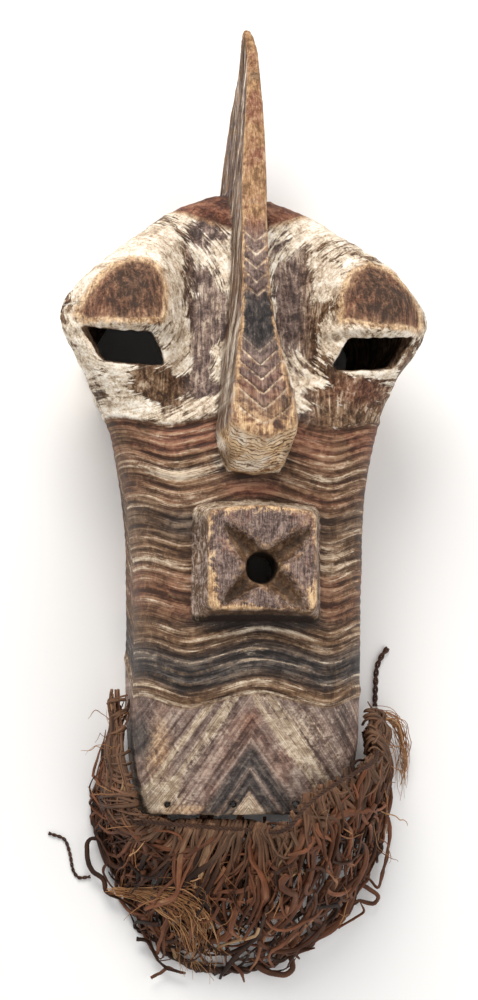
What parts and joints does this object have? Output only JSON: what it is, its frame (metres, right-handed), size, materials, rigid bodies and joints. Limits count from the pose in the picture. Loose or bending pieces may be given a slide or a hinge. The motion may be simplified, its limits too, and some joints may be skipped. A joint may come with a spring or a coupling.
{
  "type": "kifwebe mask",
  "caption": "Carved wooden face mask with a tall crest, striped cheeks, slanting slit eyes, a square mouth block and a looped fibre beard, lying face up.",
  "frame": {"origin": "centre of the base rectangle, on the plane of the mask's rear rim", "axes": "+X to the viewer's right across the face, +Y from the beard to the crest, +Z from the rear rim out through the nose"},
  "size_m": [0.297, 0.7682, 0.2052],
  "materials": {
    "wood": "hand-carved, painted in white, red-brown and black stripes, worn to bare ochre wood on the edges",
    "fibre": "matt strips of plant fibre",
    "cord": "twisted plant fibre"
  },
  "bodies": {
    "root": {"mask": "wood", "beard": "fibre", "beard_cord": "cord", "hem_cord": "cord", "loose_end_left": "cord", "loose_end_right": "cord"}
  },
  "joints": []
}
